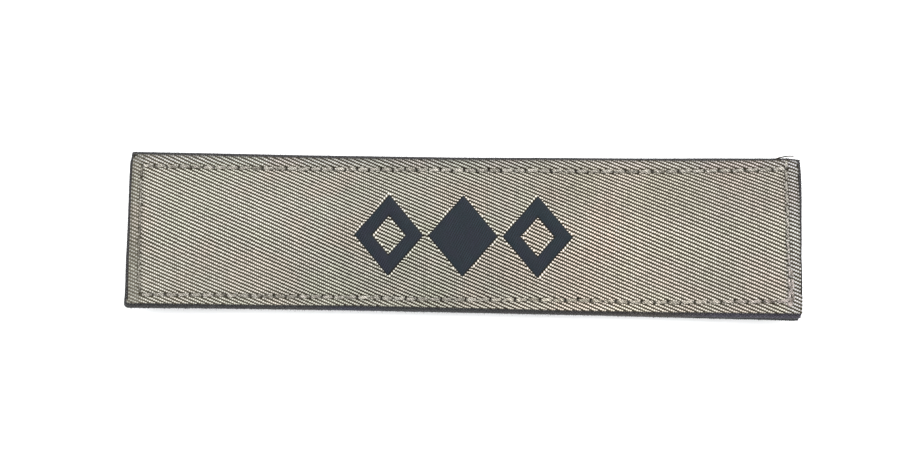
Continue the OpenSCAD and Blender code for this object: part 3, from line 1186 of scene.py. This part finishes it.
def twill_material():
    """Light threads of the face, with slow warm, pink and green drifts over the cloth.
    Painted shading marks each float, and painted light changes the brightness along the tape.
    """
    shader = Shader("light_floats", 0.5, 0.25, 0.15)
    base = shader.tone((0.0, (0.25, 0.24, 0.215)), (0.5, (0.605, 0.583, 0.537)),
                       (1.0, (0.79, 0.77, 0.72)))
    # Painted shade where a float dives and on its sides, and a painted highlight on its middle
    crown = shader.crown((0.0, (0.12, 0.104, 0.073)), (0.5, (0.47, 0.447, 0.395)), (0.92, 1))
    # tint: painted light along the tape, lighter at the ends, dimmest left of the middle, brightest right
    # of it
    tint = shader.ramp(
        shader.along(), (0.0, (1.09, 1.12, 1.13)), (0.20, (1.09, 1.12, 1.13)), (0.36, (0.98, 1.01, 1.01)),
        (0.56, (1.0, 1.02, 1.01)), (0.74, (1.32, 1.26, 1.24)), (0.88, (1.13, 1.12, 1.14)),
        (0.975, (1.15, 1.13, 1.15)), (0.985, (1.06, 1.09, 1.22)))
    cool = shader.ramp(shader.share("Y", 12.5, 13.3), (0.0, 1), (1.0, (0.97, 0.98, 1.05)))
    drift = shader.ramp(shader.noise(0.12, 0.16, 0.1, 1.0),
                        (0.35, (0.97, 1.0, 0.96)), (0.5, 1), (0.65, (1.035, 0.975, 0.97)))
    return shader.done(shader.times(base, tint, cool, crown, drift), shader.noise(22, 3, 8), 0.35, 0.02)


def ground_material():
    """Dark threads of the face, with painted shade that is deepest in the middle of the tape."""
    shader = Shader("dark_threads", 0.75, 0.08, 0.05)
    base = shader.tone((0.0, (0.015, 0.013, 0.008)), (0.5, (0.042, 0.037, 0.025)),
                       (1.0, (0.12, 0.112, 0.09)))
    speck = shader.ramp(shader.noise(3, 12, 3), (0.3, 0.7), (0.7, 1.3))
    # Painted shade along the tape: lighter at the ends, darkest in the middle
    shade = shader.ramp(shader.along(), (0.0, 1.3), (0.40, 0.55), (0.58, 0.50), (0.76, 0.9), (1.0, 0.9))
    base = shader.times(base, speck, shade)
    # Over the middle of the tape the near half is darker
    near = shader.ramp(shader.share("Y", 0, -13), (0.0, 1), (0.4, 0.55), (0.84, 0.55), (0.95, 1.1))
    middle = shader.ramp(shader.along(), (0.15, 0), (0.33, 1), (0.60, 1), (0.72, 0))
    base = shader.mixed(middle, base, shader.times(base, near))
    # Painted shade where the dark threads dive and on the ground beneath the floats
    colour = shader.times(base, shader.crown((0.0, 0.6), (0.9, 1)))
    return shader.done(colour, shader.noise(2.5, 11, 2.5), 0.4, 0.03)


def figure_material():
    shader = Shader("dark_satin", 0.55, 0.15, 0.05)
    base = shader.tone((0.0, (0.004, 0.005, 0.006)), (0.05, (0.010, 0.0155, 0.0235)),
                       (1.0, (0.0145, 0.022, 0.033)))
    cloud = shader.ramp(shader.noise(0.3, 0.35, 0.5),
                        (0.35, (0.84, 1.05, 0.98)), (0.5, 1), (0.65, (1.12, 0.94, 1.06)))
    return shader.done(shader.times(base, cloud), shader.noise(20, 3, 8), 0.3, 0.02)


def dark_cloth(name, dark, light, right_end):
    """Dark woven strip, with painted shade between its thread ends.
    Its colour changes slowly along the near edge.
    """
    shader = Shader(name, 0.85, 0.12, 0.15)
    weave = shader.plain_weave(0.62, 0.50)
    plain = shader.times(shader.ramp(shader.noise(5, 5, 2.5), (0.32, dark), (0.68, light)),
                         shader.ramp(weave, (0.0, 0.70), (0.5, 1.42)))
    drift = shader.ramp(
        shader.along(), (0.0, 0.95), (0.28, 1), (0.33, (0.9, 0.95, 1.25)), (0.42, (0.95, 1.0, 1.0)),
        (0.72, (1.05, 1.02, 0.98)), (0.80, (1.2, 1.1, 1.0)), (0.88, right_end), (1.0, right_end))
    near_edge = shader.share("Y", -13.5, -14.3)
    colour = shader.mixed(near_edge, plain, shader.times(plain, drift))
    # Painted shade in the grooves between the cut thread ends, and a slight painted highlight on them
    return shader.done(shader.times(colour, shader.crown((0.0, 0.35), (0.9, 1.15))), weave, 0.5, 0.08)


def hook_material():
    shader = Shader("nylon_hooks", 0.35, 0.5)
    nylon = shader.tone((0.0, (0.022, 0.022, 0.024)), (1.0, (0.055, 0.055, 0.060)))
    return shader.done(nylon, shader.noise(6, 6, 6), 0.1, 0.02)


def thread_material():
    """Thread of the seam, lighter and pinker towards the near right corner."""
    shader = Shader("seam_thread", 0.55, 0.2, 0.15)
    # The last ramp paints shade into the grooves between the plies and a faint highlight on them
    base = shader.times(
        shader.tone((0.0, (0.14, 0.128, 0.105)), (1.0, (0.58, 0.553, 0.51))),
        shader.ramp(shader.noise(4, 4, 4), (0.42, (0.5, 0.5, 0.48)), (0.60, (1.35, 1.33, 1.3))),
        shader.crown((0.40, (0.10, 0.097, 0.09)), (0.80, (0.85, 0.85, 0.84)), (1.0, (1.08, 1.08, 1.07))))
    tint = shader.ramp(shader.along(), (0.50, 1), (0.65, (1.28, 1.26, 1.17)),
                       (0.86, (1.2, 1.17, 1.14)), (0.96, (1.12, 1.05, 1.12)))
    near = shader.ramp(shader.share("Y", 4, -10), (0.0, 0), (1.0, 1))
    colour = shader.mixed(near, base, shader.times(base, tint))
    return shader.done(colour, shader.noise(14, 14, 14), 0.4, 0.03)


def floor_material():
    shader = Shader("pale_floor", 0.9, 0.1)
    pale = np.array([0.915, 0.92, 0.93])
    return shader.done(shader.ramp(shader.noise(0.02, 0.02, 0.02), (0.0, pale), (1.0, pale * 1.01)))


# Floor, light and camera

def make_floor():
    size = 1.5
    mesh = bpy.data.meshes.new("floor")
    around = [(-size, -size, 0), (size, -size, 0), (size, size, 0), (-size, size, 0)]
    mesh.from_pydata(around, [], [(0, 1, 2, 3)])
    mesh.materials.append(floor_material())
    new_object("floor", mesh)


def make_light():
    world = bpy.data.worlds.new("studio")
    bpy.context.scene.world = world
    world.use_nodes = True
    sky = world.node_tree.nodes["Background"]
    sky.inputs["Color"].default_value = (1, 1, 1, 1)
    sky.inputs["Strength"].default_value = 1.58
    lamp = bpy.data.lights.new("softbox", "AREA")
    lamp.shape = "RECTANGLE"
    lamp.size, lamp.size_y = 0.6, 0.5
    lamp.energy = 3.9
    softbox = new_object("softbox", lamp)
    softbox.location = (0.14, 0.26, 0.58)
    softbox.rotation_euler = (-softbox.location).to_track_quat("-Z", "Y").to_euler()
    bpy.context.scene.view_settings.view_transform = "Standard"


def make_camera():
    """Camera above the patch, a little to the near side and to the right."""
    data = bpy.data.cameras.new("camera")
    data.sensor_width = 36
    data.lens = 51.645
    data.clip_start = 0.01
    camera = new_object("camera", data)
    turn = (Matrix.Rotation(math.radians(4.042), 4, "Y")
            @ Matrix.Rotation(math.radians(5.99), 4, "X")
            @ Matrix.Rotation(math.radians(1.118), 4, "Z"))
    target = Vector((-1.571, 1.234, 0.25)) * MM
    distance = 250 * MM
    camera.matrix_world = Matrix.Translation(target) @ turn @ Matrix.Translation((0, 0, distance))
    bpy.context.scene.camera = camera


# Assembly


def make_face(thread, ground):
    """The twill cloth with all that it carries."""
    points, faces, tone = face_mesh()
    # The ground's painted shade lifts at the needle holes, where its tone rises
    cloth = place("face_cloth", points, faces, "twill", ground, tone=tone, crown=np.clip(tone, 0, 1))
    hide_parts("face_tape")
    light, figure = twill_material(), figure_material()
    carried = make_twill(default_rng(1), light, ground)
    carried += make_face_ends(default_rng(2), light, ground)
    for k, name in enumerate(LOZENGES):
        carried.append(make_lozenge(name, default_rng(10 + k), figure))
    carried.append(make_seam("seam_on_face", face_seat, 1, default_rng(3), thread))


def make_backing(ground):
    """The dark strip under the face, with its frayed edge."""
    look = dark_cloth("backing_cloth", (0.009, 0.009, 0.0095), (0.060, 0.059, 0.060), (1.18, 1.14, 1.44))
    cloth = make_strip("backing_cloth", BACKING, look, "backing_tape")
    carried = [
        make_ends(BACKING, look, default_rng(4)),
        make_fray(default_rng(5), look),
        make_loose_fibre(ground),
    ]


def make_hook_tape(thread):
    """The lowest strip, with its hooks and the underside of the seam."""
    look = dark_cloth("hook_web_cloth", (0.007, 0.008, 0.008), (0.050, 0.053, 0.053), (1.15, 1.2, 1.22))
    cloth = make_strip("hook_web_cloth", WEB, look, "hook_web")
    carried = [
        make_ends(WEB, look, default_rng(6)),
        make_hooks(default_rng(7), hook_material()),
        make_seam("seam_under_web", web_seat, -1, default_rng(8), thread),
    ]


make_camera()
make_light()
make_floor()
seam_thread, dark_threads = thread_material(), ground_material()
make_face(seam_thread, dark_threads)
make_backing(dark_threads)
make_hook_tape(seam_thread)
